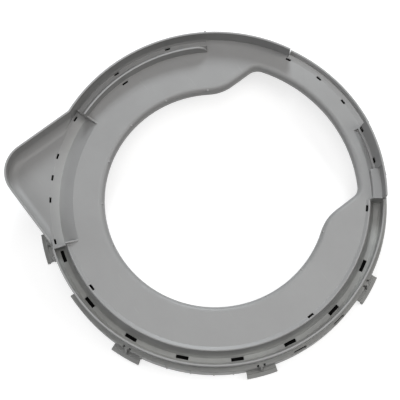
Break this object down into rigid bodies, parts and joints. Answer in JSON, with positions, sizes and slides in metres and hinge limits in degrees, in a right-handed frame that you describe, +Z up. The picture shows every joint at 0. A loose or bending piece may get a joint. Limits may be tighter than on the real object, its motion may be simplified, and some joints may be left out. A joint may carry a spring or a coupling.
{
  "type": "washer tub cover",
  "caption": "Ring-shaped cover for a top-loading washer's outer tub, with a wash opening, a drip gutter with drain slots and a corner pocket, in grey moulded plastic.",
  "frame": {"origin": "on the tub's axis, in the plane of the skirt's lower edge", "axes": "+Z up along the tub's axis, +Y to the back of the machine, where the wash opening bulges outwards, +X to the machine's right; the corner pocket is at -X -Y"},
  "size_m": [0.561, 0.561, 0.094],
  "materials": {
    "grey_plastic": "fine matt moulded grain"
  },
  "bodies": {
    "root": {"tub_cover": "grey_plastic"}
  },
  "joints": []
}
